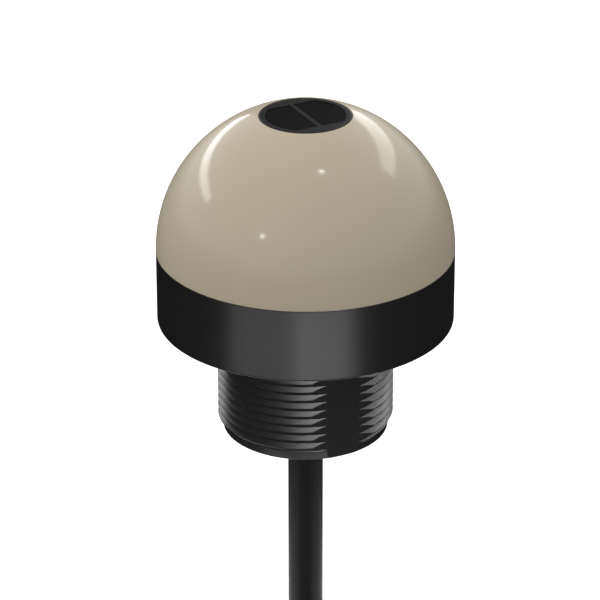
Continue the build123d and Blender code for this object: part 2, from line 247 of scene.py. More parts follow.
def surface_grain() -> NodeTree:
    """Group that gives a fine grain and a slow change of roughness.

    Returns:
        A tree with Scale, Roughness and Drift in, and Height and Roughness out.
    """
    tree, given, out = effect(
        "surface_grain",
        {"Scale": Socket.VALUE, "Roughness": Socket.VALUE, "Drift": Socket.VALUE},
        {"Height": Socket.VALUE, "Roughness": Socket.VALUE},
    )
    place = add_node(tree, "TexCoord")
    fine = add_node(tree, "TexNoise", {"Detail": GRAIN_DETAIL})
    slow = add_node(tree, "TexNoise", {"Scale": SLOW_SCALE})
    centred = add_node(tree, "Math", {1: 0.5}, operation="SUBTRACT")
    shift = add_node(tree, "Math", operation="MULTIPLY_ADD")
    join(tree, (place, "Object", fine, "Vector"), (place, "Object", slow, "Vector"),
         (given, "Scale", fine, "Scale"), (fine, "Fac", out, "Height"), (slow, "Fac", centred, 0),
         (centred, "Value", shift, 0), (given, "Drift", shift, 1), (given, "Roughness", shift, 2),
         (shift, "Value", out, "Roughness"))
    return tree


@dataclass(frozen=True)
class Finish:
    """Finish of one material, with the values that set it apart.

    Its constants go straight onto the shader's sockets, and only what changes over the surface
    comes through the shared groups. The grain's depth is in millimetres.
    """

    name: str
    base: Display
    tone: Display
    cloud_scale: float = 90.0
    cloud_amount: float = 0.5
    roughness: float = 0.4
    roughness_drift: float = 0.08
    grain_scale: float = 4000.0
    grain_depth: float = 0.02
    metallic: float = 0.0
    specular: float = 0.5
    coat: float = 0.0
    coat_roughness: float = 0.03
    transmission: float = 0.0
    ior: float = 1.5

    def build(self, clouds: NodeTree, surface: NodeTree) -> Material:
        """Make the material.

        Args:
            clouds: Shared group that varies the colour.
            surface: Shared group that gives the grain.

        Returns:
            The finished material.
        """
        material, shader = shaded(self.name, {
            "Metallic": self.metallic, "Specular IOR Level": self.specular,
            "Coat Weight": self.coat, "Coat Roughness": self.coat_roughness,
            "Transmission Weight": self.transmission, "IOR": self.ior,
        })
        tree = material.node_tree
        drift = add_node(tree, "Group", {
            "Base": srgb(self.base), "Tone": srgb(self.tone), "Scale": self.cloud_scale,
            "Amount": self.cloud_amount,
        }, node_tree=clouds)
        grain = add_node(tree, "Group", {
            "Scale": self.grain_scale, "Roughness": self.roughness, "Drift": self.roughness_drift,
        }, node_tree=surface)
        bump = add_node(tree, "Bump", {"Strength": 1.0, "Distance": self.grain_depth * MM})
        join(tree, (drift, "Color", shader, "Base Color"), (grain, "Roughness", shader, "Roughness"),
             (grain, "Height", bump, "Height"), (bump, "Normal", shader, "Normal"))
        return material


def insulation(name: str, base: Display, tone: Display) -> Finish:
    """Finish of one coloured conductor's insulation."""
    return Finish(name, base, tone, cloud_scale=400, roughness=0.42, grain_depth=0.01)


FINISHES = (
    Finish("housing_black", (23, 23, 23), (18, 18, 18), roughness=0.32, roughness_drift=0.04,
           grain_scale=5200, grain_depth=0.002, specular=0.3),
    Finish("dome_tan", (182, 170, 149), (176, 165, 143), cloud_scale=22, cloud_amount=0.8,
           roughness=0.55, roughness_drift=0.04, grain_depth=0.0, specular=0.2, coat=0.5,
           coat_roughness=0.115),
    Finish("window_black", (35, 35, 36), (31, 31, 32), roughness=0.4, specular=0.09,
           grain_depth=0.003),
    Finish("pane_dark", (26, 26, 27), (23, 23, 24), roughness=0.2, roughness_drift=0.02,
           grain_depth=0.0, specular=0.3),
    Finish("lens_clear", (235, 238, 240), (225, 230, 235), roughness=0.08, transmission=0.9,
           grain_depth=0.0),
    Finish("seal_rubber", (45, 45, 45), (34, 34, 34), roughness=0.7, grain_depth=0.02),
    Finish("board_white", (232, 232, 226), (214, 214, 206), roughness=0.35),
    Finish("board_green", (20, 92, 58), (12, 70, 42), cloud_scale=300, roughness=0.32),
    Finish("tower_white", (226, 226, 220), (208, 208, 200), roughness=0.5),
    Finish("component_black", (40, 40, 42), (30, 30, 32), roughness=0.55, grain_depth=0.01),
    Finish("lamp_white", (240, 236, 205), (246, 228, 150), roughness=0.3),
    Finish("metal_bright", (200, 200, 203), (180, 180, 184), metallic=1.0, roughness=0.28),
    Finish("resin_black", (34, 34, 36), (26, 26, 28), roughness=0.25, grain_scale=700),
    Finish("cable_pvc", (26, 26, 26), (22, 22, 22), roughness=0.45, grain_scale=3000,
           grain_depth=0.006, specular=0.3),
    Finish("tie_black", (30, 30, 31), (22, 22, 23), roughness=0.38, grain_depth=0.005),
    insulation("wire_black", (32, 32, 33), (24, 24, 25)),
    insulation("wire_white", (226, 226, 224), (206, 206, 202)),
    insulation("wire_brown", (104, 62, 40), (82, 46, 28)),
    insulation("wire_blue", (36, 82, 168), (26, 62, 138)),
    insulation("wire_grey", (128, 129, 131), (110, 111, 113)),
    Finish("wire_tinned", (206, 207, 210), (170, 172, 176), metallic=1.0, roughness=0.3,
           grain_scale=2600, grain_depth=0.02),
)


class Paint:
    """All materials by the record's slot name."""

    def __init__(self) -> None:
        """Build every finish once."""
        groups = (colour_drift(), surface_grain())
        self.materials = {finish.name: finish.build(*groups) for finish in FINISHES}

    def dress(self, piece: Object, slot: str) -> None:
        """Give a piece one material, in place of any that it has.

        Args:
            piece: The piece or CAD node.
            slot: Material slot of the record.
        """
        piece.data.materials.clear()
        piece.data.materials.append(self.materials[slot])

    def dress_frame(self) -> None:
        """Give every CAD node the finish of its slot in the record."""
        for row in frame["record"]["subparts"]:
            self.dress(frame["nodes"][row["node"]], row["material_slot"])


# Mesh tools


def placed(name: str, data: bpy.types.ID) -> Object:
    """New object in the scene for a mesh, a curve, a lamp or a camera."""
    made = bpy.data.objects.new(name, data)
    bpy.context.scene.collection.objects.link(made)
    return made


def slice_off(bm: BMesh, place: Point, away: Point) -> None:
    """Remove what lies past a plane, which has a point and an outward direction."""
    bmesh.ops.bisect_plane(bm, geom=bm.verts[:] + bm.edges[:] + bm.faces[:], plane_co=place,
                           plane_no=away, clear_outer=True)


def turned(points: Profile, rounds: dict[int, float], steps: int = 192,
           round_steps: int = 4) -> BMesh:
    """Solid of revolution from a half section, with chosen corners rounded.

    Args:
        points: Corners as (radius, height).
        rounds: Rounding radius of each rounded corner, by its number.
        steps: Segments of the full turn.
        round_steps: Segments of each rounding.

    Returns:
        The closed mesh.
    """
    bm = bmesh.new()
    corners = [bm.verts.new((radius, 0.0, height)) for radius, height in points]
    bm.faces.new(corners)
    for size in sorted(set(rounds.values())):
        chosen = [corners[number] for number, radius in rounds.items() if radius == size]
        bmesh.ops.bevel(bm, geom=chosen, offset=size, affect="VERTICES", segments=round_steps,
                        profile=0.5, material=-1)
    bmesh.ops.delete(bm, geom=bm.faces[:], context="FACES_ONLY")
    bmesh.ops.spin(bm, geom=bm.verts[:] + bm.edges[:], cent=(0, 0, 0), axis=(0, 0, 1), dvec=(0, 0, 0),
                   angle=FULL_TURN, steps=steps, use_merge=True)
    bmesh.ops.remove_doubles(bm, verts=bm.verts[:], dist=WELD)
    bmesh.ops.recalc_face_normals(bm, faces=bm.faces[:])
    return bm


def block(low: Point, high: Point, turn: Matrix = Matrix()) -> BMesh:
    """Box between two corners.

    Args:
        low: Lowest corner.
        high: Highest corner.
        turn: Turn about the axis.

    Returns:
        The closed box.
    """
    bm = bmesh.new()
    size = Vector(high) - Vector(low)
    centre = (Vector(high) + Vector(low)) / 2
    place = turn @ Matrix.Translation(centre) @ Matrix.Diagonal((*size, 1.0))
    bmesh.ops.create_cube(bm, size=1.0, matrix=place)
    return bm


def together(*parts: BMesh) -> BMesh:
    """Several meshes as one.

    Args:
        parts: The meshes, which are used up.

    Returns:
        The joined mesh.
    """
    whole = bmesh.new()
    for part in parts:
        carried = bpy.data.meshes.new("part")
        part.to_mesh(carried)
        part.free()
        whole.from_mesh(carried)
        bpy.data.meshes.remove(carried)
    return whole


def as_object(name: str, bm: BMesh) -> Object:
    """Mesh object in the scene.

    Args:
        name: Name of the object.
        bm: Its mesh, which is used up.

    Returns:
        The new object.
    """
    mesh = bpy.data.meshes.new(name)
    bm.to_mesh(mesh)
    bm.free()
    return placed(name, mesh)


def carve(piece: Object, cuts: list[tuple[Cut, BMesh]]) -> None:
    """Add closed meshes to a piece or remove them from it.

    Args:
        piece: The piece to change.
        cuts: Each change, in order. Its mesh is used up.
    """
    tools = []
    for number, (kind, bm) in enumerate(cuts):
        tool = as_object(f"{piece.name}_tool_{number}", bm)
        tools.append(tool)
        change = piece.modifiers.new(kind.name, "BOOLEAN")
        change.operation = kind.value
        change.solver = "MANIFOLD"
        change.object = tool
    graph = bpy.context.evaluated_depsgraph_get()
    mesh = bpy.data.meshes.new_from_object(piece.evaluated_get(graph))
    piece.modifiers.clear()
    piece.data = mesh
    for tool in tools:
        bpy.data.meshes.remove(tool.data)


def smooth(piece: Object, angle: float = 32.0) -> None:
    """Shade a piece smooth.

    Args:
        piece: The piece.
        angle: Edges sharper than this, in degrees, stay crisp.
    """
    piece.data.shade_smooth()
    piece.data.set_sharp_from_angle(angle=radians(angle))
    weighted = piece.modifiers.new("weighted", "WEIGHTED_NORMAL")
    weighted.keep_sharp = True


def nurbs_tube(name: str, points: list[Vector], radius: float, steps: int = 6) -> Object:
    """Round tube along a smooth curve.

    Args:
        name: Name of the tube.
        points: Control points of the curve.
        radius: Radius of the tube.
        steps: How finely the curve and its quarter circles are divided.

    Returns:
        The tube as a curve object.
    """
    curve = bpy.data.curves.new(name, "CURVE")
    curve.dimensions = "3D"
    curve.resolution_u = steps
    curve.bevel_depth = radius
    curve.bevel_resolution = steps
    curve.use_fill_caps = True
    spline = curve.splines.new("NURBS")
    spline.points.add(len(points) - 1)
    for spot, place in zip(spline.points, points):
        spot.co = (*place, 1.0)
    spline.order_u = 3
    spline.use_endpoint_u = True
    return placed(name, curve)


@dataclass
class Part:
    """What every sub-assembly shares: its paint and how its pieces join the frame."""

    paint: Paint

    def fit(self, piece: Object, slot: str, *nodes: str) -> None:
        """Dress a piece and tie it to the frame.

        Args:
            piece: The finished piece.
            slot: Material slot of the record.
            nodes: CAD nodes that the piece stands for.
        """
        self.paint.dress(piece, slot)
        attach(piece, Body.ROOT.value)
        if nodes:
            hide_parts(*nodes)
        LOG.info("%s stands for %s", piece.name, ", ".join(nodes) or "no node")


@dataclass
class Housing(Part):
    """Collar and threaded stem, moulded in one piece with its bosses and rails."""

    collar_edge: float = 0.4 * MM
    seam_edge: float = 0.12 * MM
    collar_floor: float = 3.0 * MM
    rim_wall: float = 2.0 * MM
    seal_seat: float = 8.8 * MM
    chamber_wall: float = 3.6 * MM
    crest_r: float = 14.93 * MM
    stem_wall: float = 3.43 * MM
    land_depth: float = 0.88 * MM
    thread_len: float = 18.8 * MM
    stem_edge: float = 0.3 * MM
    end_wall: float = 3.0 * MM
    gland_r: float = 4.6 * MM
    flat_distance: float = 13.75 * MM
    flat_azimuth: float = -63.0
    pitch: float = 1.5 * MM
    root_w: float = 0.03 * MM
    upper_flank_drop: float = 0.52 * MM
    crest_w: float = 0.1 * MM
    thread_phase: float = 0.65 * MM
    groove_reach: float = 0.04 * MM
    steps: int = 192
    boss_circle_r: float = 18.6 * MM
    boss_r: float = 2.5 * MM
    screw_r: float = 1.0 * MM
    boss_top: float = 9.4 * MM
    screw_reach: float = 5.0 * MM
    rail_from: float = 9.0 * MM
    rail_w: float = 3.8 * MM
    slot_to: float = 10.05 * MM
    slot_w: float = 1.7 * MM
    slot_bottom: float = -14.5 * MM
    boss_turns: tuple[float, ...] = (90, 210, 330)
    boss_steps: int = 48
    rail_turns: tuple[float, ...] = (0, 180)
    boss_sunk: float = 0.2 * MM
    rail_sunk: float = 0.05 * MM
    step_back: float = 0.01 * MM
    groove_top: float = -0.02 * MM
    groove_weld: float = 0.001 * MM

    def shell(self) -> BMesh:
        """Walls of the housing, with the stem at the thread's crests.

        Returns:
            The closed shell.
        """
        low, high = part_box("base_housing")
        body_r = high.x
        rim_r, chamber_r = body_r - self.rim_wall, body_r - self.chamber_wall
        bore_r, land_r = self.crest_r - self.stem_wall, self.crest_r - self.land_depth
        points = [
            (bore_r, self.collar_floor), (chamber_r, self.collar_floor), (chamber_r, self.seal_seat),
            (rim_r, self.seal_seat), (rim_r, high.z), (body_r, high.z), (body_r, 0.0),
            (self.crest_r, 0.0), (self.crest_r, -self.thread_len + self.land_depth),
            (land_r, -self.thread_len), (land_r, low.z), (self.gland_r, low.z),
            (self.gland_r, low.z + self.end_wall), (bore_r, low.z + self.end_wall),
        ]
        return turned(points, {5: self.seam_edge, 6: self.collar_edge, 10: self.stem_edge}, self.steps)

    def groove(self) -> BMesh:
        """Helical groove of the right-hand thread, as a closed cutter.

        Returns:
            A cutter with a shallow flank below and a steep one above, open past the crests.
        """
        lower_flank_rise = self.pitch - self.crest_w - self.root_w - self.upper_flank_drop
        past = 1 + self.groove_reach / self.land_depth
        outer_r = self.crest_r + self.groove_reach
        root_r = self.crest_r - self.land_depth
        start = -self.thread_len - self.pitch + self.thread_phase
        turns = ceil(self.thread_len / self.pitch) + 2
        bm = bmesh.new()
        section = [(root_r, 0.0), (outer_r, -self.upper_flank_drop * past),
                   (outer_r, self.root_w + lower_flank_rise * past), (root_r, self.root_w)]
        corners = [bm.verts.new((radius, 0, start + height)) for radius, height in section]
        for first, second in zip(corners, corners[1:] + corners[:1]):
            bm.edges.new((first, second))
        bmesh.ops.spin(bm, geom=bm.verts[:] + bm.edges[:], cent=(0, 0, 0), axis=(0, 0, 1),
                       dvec=(0, 0, self.pitch / self.steps), angle=FULL_TURN, steps=self.steps)
        one_turn = bm.verts[:] + bm.edges[:] + bm.faces[:]
        for number in range(1, turns):
            copied = bmesh.ops.duplicate(bm, geom=one_turn)["geom"]
            bmesh.ops.translate(bm, verts=[v for v in copied if isinstance(v, BMVert)],
                                vec=(0, 0, self.pitch * number))
        bmesh.ops.remove_doubles(bm, verts=bm.verts[:], dist=self.groove_weld)
        slice_off(bm, (0, 0, self.groove_top), (0, 0, 1))
        bmesh.ops.holes_fill(bm, edges=[e for e in bm.edges if e.is_boundary], sides=0)
        bmesh.ops.recalc_face_normals(bm, faces=bm.faces[:])
        return bm

    def at_bosses(self, radius: float, bottom: float, top: float) -> BMesh:
        """Upright rod in the middle of each screw boss.

        Args:
            radius: Its radius.
            bottom: Its lower height.
            top: Its upper height.

        Returns:
            All rods as one mesh.
        """
        bm = bmesh.new()
        middle = Matrix.Translation((self.boss_circle_r, 0, (bottom + top) / 2))
        for turn in self.boss_turns:
            bmesh.ops.create_cone(bm, cap_ends=True, segments=self.boss_steps, radius1=radius,
                                  radius2=radius, depth=top - bottom, matrix=around(turn) @ middle)
        return bm

    def at_rails(self, low: Point, high: Point) -> BMesh:
        """Box at each of the two rails that hold the control board.

        Args:
            low: Its lowest corner at azimuth 0.
            high: Its highest corner there.

        Returns:
            Both boxes as one mesh.
        """
        return together(*[block(low, high, around(turn)) for turn in self.rail_turns])

    def build(self) -> None:
        """Make the housing, whose rails go a third of the way into the stem's wall."""
        low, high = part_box("base_housing")
        floor, rail_y, slot_y = self.collar_floor, self.rail_w / 2, self.slot_w / 2
        piece = as_object("housing", self.shell())
        carve(piece, [
            (Cut.REMOVE, self.groove()),
            (Cut.REMOVE, block((self.flat_distance, -high.x, low.z - PAST),
                               (high.x, high.x, -self.step_back), around(self.flat_azimuth))),
            (Cut.ADD, self.at_bosses(self.boss_r, floor - self.boss_sunk, self.boss_top)),
            (Cut.REMOVE, self.at_bosses(self.screw_r, self.boss_top - self.screw_reach,
                                        self.boss_top + PAST)),
            (Cut.ADD, self.at_rails((self.rail_from, -rail_y, low.z + self.end_wall - self.rail_sunk),
                                    (self.crest_r - self.stem_wall * 2 / 3, rail_y,
                                     floor - self.step_back))),
            (Cut.REMOVE, self.at_rails((self.rail_from - PAST, -slot_y, self.slot_bottom),
                                       (self.slot_to, slot_y, floor + PAST))),
        ])
        smooth(piece)
        self.fit(piece, "housing_black", "base_housing")


@dataclass
class Dome(Part):
    """Hemispherical tan cap with its spigot and its seat for the window."""

    wall: float = 2.5 * MM
    spigot_wall: float = 1.6 * MM
    rim_wall: float = 2.0 * MM
    slide_gap: float = 0.1 * MM
    boss_r: float = 10.3 * MM
    boss_drop: float = 0.3 * MM
    cup_r: float = 7.75 * MM
    barrel_hole_r: float = 6.9 * MM
    cup_depth: float = 2.0 * MM
    seam_edge: float = 0.12 * MM
    lip_edge: float = 0.1 * MM
    arc_steps: int = 72
    steps: int = 256

    def arc(self, radius: float, from_r: float, to_r: float, centre: float) -> Profile:
        """Points along a circle about the seam's centre, between two distances from the axis.

        Args:
            radius: Radius of the circle.
            from_r: Distance from the axis at the start.
            to_r: Distance from the axis at the end.
            centre: Height of the circle's centre.

        Returns:
            The points, ends included.
        """
        first, last = acos(min(1.0, from_r / radius)), acos(to_r / radius)
        angles = [first + (last - first) * i / self.arc_steps for i in range(self.arc_steps + 1)]
        return [(radius * cos(a), centre + radius * sin(a)) for a in angles]

    def build(self) -> None:
        """Make the dome."""
        low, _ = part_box("dome")
        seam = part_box("base_housing")[1].z
        body_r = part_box("dome")[1].x
        inner_r = body_r - self.wall
        spigot_out = body_r - self.rim_wall - self.slide_gap
        spigot_in = spigot_out - self.spigot_wall
        lip = seam + sqrt(body_r**2 - self.cup_r**2)
        boss_z = seam + sqrt(inner_r**2 - self.boss_r**2) - self.boss_drop
        outside = self.arc(body_r, body_r, self.cup_r, seam)
        inside = self.arc(inner_r, self.boss_r, spigot_in, seam)
        points = outside + [
            (self.cup_r, lip - self.cup_depth), (self.barrel_hole_r, lip - self.cup_depth),
            (self.barrel_hole_r, boss_z), (self.boss_r, boss_z),
        ] + inside + [(spigot_in, low.z), (spigot_out, low.z), (spigot_out, seam)]
        rounds = {0: self.seam_edge, len(outside) - 1: self.lip_edge}
        piece = as_object("dome_cap", turned(points, rounds, self.steps))
        smooth(piece)
        self.fit(piece, "dome_tan", "dome")


@dataclass
class Window(Part):
    """Round optics holder in the dome's top, with two D-shaped panes."""

    azimuth: float = -63.0
    flange_r: float = 7.64 * MM
    flange_t: float = 1.5 * MM
    flange_edge: float = 0.12 * MM
    barrel_r: float = 6.8 * MM
    pane_arc_r: float = 6.7 * MM
    pane_end: float = 5.15 * MM
    bar_w: float = 0.75 * MM
    pane_t: float = 1.0 * MM
    pane_recess: float = 0.15 * MM
    pane_ledge: float = 0.45 * MM
    fit_gap: float = 0.05 * MM
    edge: float = 0.05 * MM
    edge_steps: int = 2
    steps: int = 160
    past: float = 0.5 * MM

    def d_prism(self, inset: float, bottom: float, top: float, side: float) -> BMesh:
        """Prism with a D-shaped outline on one side of the bar.

        Args:
            inset: How much smaller than the opening it is.
            bottom: Its lower height.
            top: Its upper height.
            side: Turn about the axis, in degrees.

        Returns:
            The closed prism.
        """
        bm = bmesh.new()
        bmesh.ops.create_circle(bm, cap_ends=True, segments=self.steps, radius=self.pane_arc_r - inset,
                                matrix=Matrix.Translation((0, 0, bottom)))
        end = self.pane_end - inset
        slice_off(bm, (end, 0, 0), (1, 0, 0))
        slice_off(bm, (-end, 0, 0), (-1, 0, 0))
        slice_off(bm, (0, self.bar_w / 2 + inset, 0), (0, -1, 0))
        made = bmesh.ops.extrude_face_region(bm, geom=bm.faces[:])["geom"]
        bmesh.ops.translate(bm, verts=[v for v in made if isinstance(v, BMVert)],
                            vec=(0, 0, top - bottom))
        bmesh.ops.recalc_face_normals(bm, faces=bm.faces[:])
        bmesh.ops.transform(bm, verts=bm.verts[:], matrix=around(self.azimuth + side))
        return bm

    def both(self, inset: float, bottom: float, top: float) -> BMesh:
        """D-shaped prisms on both sides of the bar."""
        return together(*[self.d_prism(inset, bottom, top, side) for side in (0, 180)])

    def holder(self) -> None:
        """Make the flange and the barrel, with two channels and their pockets for the panes."""
        low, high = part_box("window_bezel")
        seat = high.z - self.flange_t
        points = [(0, low.z), (self.barrel_r, low.z), (self.barrel_r, seat), (self.flange_r, seat),
                  (self.flange_r, high.z), (0, high.z)]
        piece = as_object("window_ring", turned(points, {4: self.flange_edge}))
        pocket = high.z - self.pane_recess - self.pane_t
        carve(piece, [
            (Cut.REMOVE, self.both(0, pocket, high.z + self.past)),
            (Cut.REMOVE, self.both(self.pane_ledge, low.z - self.past, pocket + self.past)),
        ])
        smooth(piece)
        self.fit(piece, "window_black", "window_bezel")

    def pane(self, name: str, node: str, side: float) -> None:
        """Make a dark pane with a fine bevel round its top.

        Args:
            name: Name of the piece.
            node: CAD node that it stands for.
            side: Turn about the axis, in degrees.
        """
        low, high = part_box(node)
        bm = self.d_prism(self.fit_gap, low.z, high.z, side)
        rim = [e for e in bm.edges if all(abs(v.co.z - high.z) < WELD for v in e.verts)]
        bmesh.ops.bevel(bm, geom=rim, offset=self.edge, affect="EDGES", segments=self.edge_steps,
                        profile=0.5, material=-1)
        piece = as_object(name, bm)
        smooth(piece)
        self.fit(piece, "pane_dark", node)

    def build(self) -> None:
        """Make the holder and both panes."""
        self.holder()
        self.pane("pane_over_emitter", "emitter_window", 0)
        self.pane("pane_over_receiver", "receiver_window", 180)


@dataclass
class Grommet(Part):
    """Strain relief round the cable, with a flange and a tapered tip."""

    bore_r: float = 3.05 * MM
    neck_r: float = 4.55 * MM
    flange_r: float = 5.7 * MM
    flange_t: float = 1.0 * MM
    tip_r: float = 3.8 * MM
    edge: float = 0.3 * MM
    steps: int = 96

    def build(self) -> None:
        """Make the strain relief."""
        low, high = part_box("cable_grommet")
        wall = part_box("base_housing")[0].z
        seat = high.z - self.flange_t
        points = [
            (self.bore_r, high.z), (self.flange_r, high.z), (self.flange_r, seat),
            (self.neck_r, seat), (self.neck_r, wall), (self.flange_r, wall),
            (self.flange_r, wall - self.flange_t), (self.tip_r, low.z), (self.bore_r, low.z),
        ]
        rounds = dict.fromkeys((5, 6, 7), self.edge)
        piece = as_object("strain_relief", turned(points, rounds, self.steps))
        smooth(piece)
        self.fit(piece, "seal_rubber", "cable_grommet")


@dataclass
class Cable(Part):
    """Round cable on its own route, wound into a coil, with its ties and its bare leads."""

    radius: float = 3.0 * MM
    length: float = 2.0
    route: tuple[Point, ...] = (
        (0, 0, -0.015), (0, 0, -0.048), (0, 0, -0.062), (0.0072, -0.0096, -0.0828),
        (0.0195, -0.0263, -0.0948), (0.0339, -0.0456, -0.0948),
    )
    pitch: float = 6.2 * MM
    coil_r: float = 36.0 * MM
    landing_heading: float = -53.3
    points_per_turn: int = 24
    tail_azimuths: Pair = (-32.0, -83.0)
    tail_lift: float = 0.1 * MM

    def centre(self) -> Vector:
        """Centre of the coil, on the inner side of the place where the cable lands.

        Returns:
            The point, at the height of the first layer.
        """
        heading = radians(self.landing_heading - 90)
        inward = Vector((cos(heading), sin(heading), 0))
        return Vector(self.route[-1]) + inward * (self.coil_r + self.pitch)

    def at(self, azimuth: float, radius: float, height: float) -> Vector:
        """Point about the coil's axis.

        Args:
            azimuth: Its azimuth in degrees.
            radius: Its distance from the coil's axis.
            height: Its height.

        Returns:
            The point.
        """
        turn = radians(azimuth)
        middle = self.centre()
        return Vector((middle.x + radius * cos(turn), middle.y + radius * sin(turn), height))

    def schedule(self) -> list[tuple[float, float, float]]:
        """How the turns are wound.

        Returns:
            Rows of (turned angle in degrees, column, layer), where column 1 is the outer one.
        """
        return [
            (0, 1, 0), (300, 1, 0), (355, 0, 0), (660, 0, 0), (715, -1, 0), (955, -1, 0), (1020, -1, 1),
            (1255, -1, 1), (1310, 0, 1), (1615, 0, 1), (1670, 1, 1), (1910, 1, 1), (1975, 1, 2),
            (2210, 1, 2), (2265, 0, 2), (2570, 0, 2), (2625, -1, 2), (2880, -1, 2), (2925, -0.6, 3),
        ]

    def wound(self, angle: float) -> Pair:
        """Place of the winding after some turns.

        Args:
            angle: Turned angle in degrees.

        Returns:
            Radius and height.
        """
        rows = self.schedule()
        for (a0, c0, l0), (a1, c1, l1) in zip(rows, rows[1:]):
            if angle <= a1:
                share = (angle - a0) / (a1 - a0)
                column, layer = c0 + (c1 - c0) * share, l0 + (l1 - l0) * share
                return self.coil_r + column * self.pitch, self.route[-1][2] + layer * self.pitch
        raise ValueError(angle)

    def points(self) -> list[Vector]:
        """Control points of the cable's line, from the stem to its far end.

        Returns:
            The points. Those on the coil lie a little outside, as the curve runs inside them.
        """
        step = 360 / self.points_per_turn
        widen = 1 / cos(radians(step / 2))
        line = [Vector(p) for p in self.route]
        start = self.landing_heading + 90
        angle = step / 2
        while angle < self.schedule()[-1][0]:
            radius, height = self.wound(angle)
            line.append(self.at(start - angle, radius * widen, height))
            angle += step
        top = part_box("cable_tail")[0].z + self.radius
        line += [self.at(azimuth, self.coil_r, top) for azimuth in self.tail_azimuths]
        return line

    def build(self) -> None:
        """Make the cable."""
        piece = nurbs_tube("cable_run", self.points(), self.radius)
        self.fit(piece, "cable_pvc", "cable", "cable_coil", "cable_tail")


@dataclass
class Ties(Part):
    """Two flat ties round the coil, each with its head and the slot for its cut tail."""

    azimuths: Pair = (110.0, 195.0)
    turn_w: float = 18.6 * MM
    thickness: float = 0.8 * MM
    inner_gap: float = 0.15 * MM
    outer_gap: float = 0.05 * MM
    width: float = 4.0 * MM
    corner_r: float = 2.0 * MM
    head: Point = (3.0 * MM, 6.0 * MM, 5.0 * MM)
    head_edge: float = 0.6 * MM
    tail_slot: Pair = (1.2 * MM, 4.2 * MM)
    round_steps: int = 5
    sunk: float = 0.01 * MM

    def boxes(self, near: float, far: float, bottom: float, top: float, half: float,
              radius: float = 0.0, along: int = 1) -> BMesh:
        """Box at each tie's azimuth about the coil's axis.

        Args:
            near: Distance of its inner side from the coil's axis.
            far: Distance of its outer side.
            bottom: Its lower height.
            top: Its upper height.
            half: Half its width.
            radius: Rounding radius of its edges along one axis.
            along: Number of that axis.

        Returns:
            All boxes as one mesh.
        """
        middle = Cable(self.paint).centre()
        made = [block((near, -half, bottom), (far, half, top)) for _ in self.azimuths]
        for azimuth, bm in zip(self.azimuths, made):
            if radius:
                edges = [e for e in bm.edges if abs((e.verts[0].co - e.verts[1].co)[along]) > self.sunk]
                bmesh.ops.bevel(bm, geom=edges, offset=radius, affect="EDGES",
                                segments=self.round_steps, profile=0.5, material=-1)
            place = Matrix.Translation((middle.x, middle.y, 0)) @ around(azimuth)
            bmesh.ops.transform(bm, verts=bm.verts[:], matrix=place)
        return together(*made)

    def build(self) -> None:
        """Make both ties, which are one piece as they are one node.

        Each has a band round the turns, a square head on the band's outer side, one height under
        the top, and a slot under the head that the tie's tail comes out of.
        """
        cable = Cable(self.paint)
        bottom = cable.route[-1][2] - cable.pitch / 2
        top = bottom + self.turn_w
        near, far = cable.coil_r - self.turn_w / 2, cable.coil_r + self.turn_w / 2
        skin, inner, outer = self.thickness, self.inner_gap, self.outer_gap
        depth, width, height = self.head
        slot_t, slot_w = self.tail_slot
        start = far + skin
        slot = start + depth / 2
        piece = as_object("tie_bands", self.boxes(near - skin, far + skin, bottom - skin, top + skin,
                                                  self.width / 2, self.corner_r))
        carve(piece, [
            (Cut.REMOVE, self.boxes(near - inner, far + outer, bottom - outer, top + outer, self.width,
                                    self.corner_r - skin)),
            (Cut.ADD, self.boxes(start - self.sunk, start + depth, top - 2 * height, top - height,
                                 width / 2, self.head_edge, along=2)),
            (Cut.REMOVE, self.boxes(slot - slot_t / 2, slot + slot_t / 2, top - 2 * height - PAST,
                                    top - 1.5 * height, slot_w / 2)),
        ])
        smooth(piece)
        self.fit(piece, "tie_black", "coil_ties")


